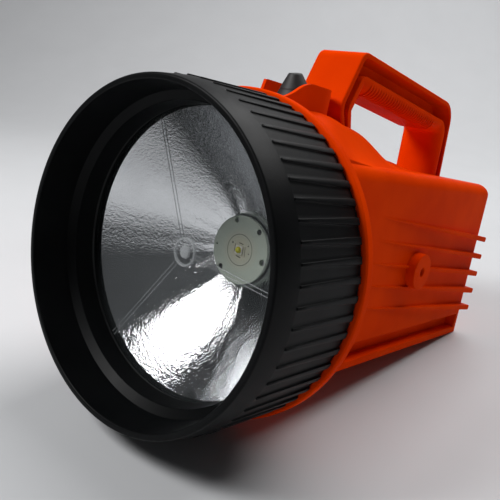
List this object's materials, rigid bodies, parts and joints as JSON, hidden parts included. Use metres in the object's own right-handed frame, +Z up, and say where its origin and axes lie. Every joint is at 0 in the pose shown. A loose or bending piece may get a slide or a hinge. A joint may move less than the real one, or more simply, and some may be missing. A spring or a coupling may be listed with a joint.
{
  "type": "hand lantern",
  "caption": "Hand lantern for fire crews: round screw-on head with reflector and LED, square battery box, carrying handle and guarded toggle switch.",
  "frame": {"origin": "centre of the lantern's outline on the surface it stands on", "axes": "+Z up, beam towards -Y and tipped 8.2 degrees up as the lantern stands on its flange and the foot's rear edge, +X the lantern's left-hand side seen from behind it"},
  "size_m": [0.1312, 0.2334, 0.1483],
  "materials": {
    "housing": "satin moulded",
    "bezel": "fine texture",
    "lens": "clear moulded",
    "seal": "matte",
    "reflector": "aluminised",
    "board_white": "matte",
    "ceramic": "matte",
    "phosphor": "gloss",
    "heat_sink": "turned",
    "screw_black": "matte",
    "board_green": "matte",
    "ferrite": "matte",
    "capacitor": "satin",
    "switch_case": "matte",
    "switch_metal": "plated",
    "contact_brass": "satin",
    "boot": "matte",
    "battery_case": "printed card",
    "battery_lid": "matte",
    "foam": "foam",
    "carrier": "matte",
    "spring_steel": "bright",
    "lead_black": "matte",
    "lead_red": "matte"
  },
  "bodies": {
    "body": {"housing": "housing", "collar_o_ring": "seal", "reflector": "reflector", "led_board": "board_white", "led_emitter": "ceramic", "led_phosphor": "phosphor", "heat_sink": "heat_sink", "board_screws": "screw_black", "driver_board": "board_green", "driver_inductor": "ferrite", "driver_capacitor": "capacitor", "switch_body": "switch_case", "switch_seal": "seal", "switch_bushing": "switch_metal", "switch_nut": "switch_metal", "switch_lugs": "contact_brass", "battery_case": "battery_case", "battery_lid": "battery_lid", "battery_pad": "foam", "contact_carrier": "carrier", "centre_contact": "contact_brass", "corner_contact": "contact_brass", "centre_spring": "spring_steel", "corner_spring": "spring_steel", "driver_lead": "lead_black", "battery_lead": "lead_red"},
    "lens_unit": {"lens": "lens", "lens_gasket": "seal"},
    "bezel_ring": {"bezel": "bezel"},
    "toggle": {"switch_lever": "switch_metal", "switch_boot": "boot"}
  },
  "joints": [
    {"name": "lens_travel", "type": "slide", "parent": "body", "child": "lens_unit", "axis": [0, -0.9897, 0.1428], "range_m": [0, 0.01]},
    {"name": "bezel_turn", "type": "hinge", "parent": "lens_unit", "child": "bezel_ring", "pos_m": [0, -0.08825, 0.06918], "axis": [0, -0.9897, 0.1428], "range_deg": [0, 900]},
    {"name": "toggle_throw", "type": "hinge", "parent": "body", "child": "toggle", "pos_m": [0, -0.02297, 0.11897], "axis": [-1, 0, 0], "range_deg": [0, 28]}
  ],
  "couplings": [
    {"joint": "lens_travel", "follows": "bezel_turn", "m_per_rad": 0.00063662}
  ]
}
